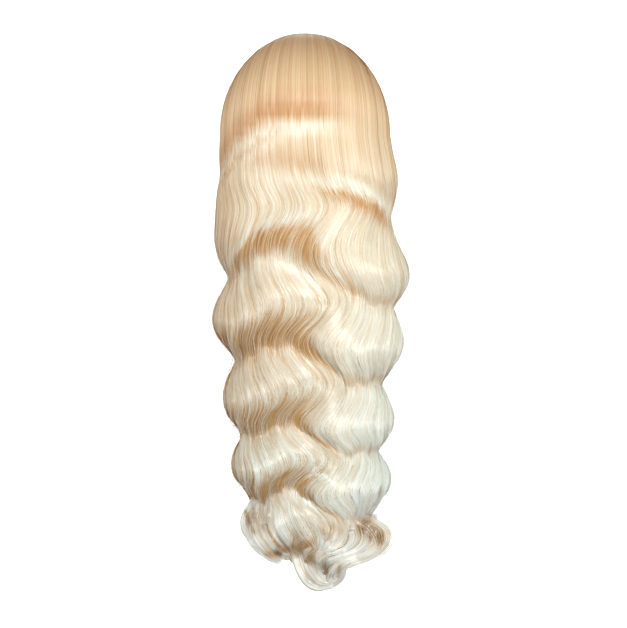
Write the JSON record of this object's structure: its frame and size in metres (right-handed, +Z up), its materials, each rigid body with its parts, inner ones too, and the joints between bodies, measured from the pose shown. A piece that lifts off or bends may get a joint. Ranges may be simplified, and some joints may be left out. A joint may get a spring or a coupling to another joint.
{
  "type": "body wave wig",
  "caption": "Long blonde wig with loose body waves: a head-shaped cap with hair laid smoothly over the crown and falling in waved locks down the back and sides.",
  "frame": {"origin": "inside of the cap at its crown, where the cap sits on the top of the head", "axes": "+Z up, +Y towards the wearer's face, +X towards the wearer's right"},
  "size_m": [0.207, 0.2102, 0.5851],
  "materials": {
    "cap_net": "matte beige wig net",
    "blonde_hair": "silky blonde hair, golden at the crown and paler at the tips"
  },
  "bodies": {
    "root": {"cap_crown": "cap_net", "cap_band": "cap_net", "crown_hair": "blonde_hair", "left_side_hair": "blonde_hair", "left_back_hair": "blonde_hair", "right_back_hair": "blonde_hair", "right_side_hair": "blonde_hair"}
  },
  "joints": []
}
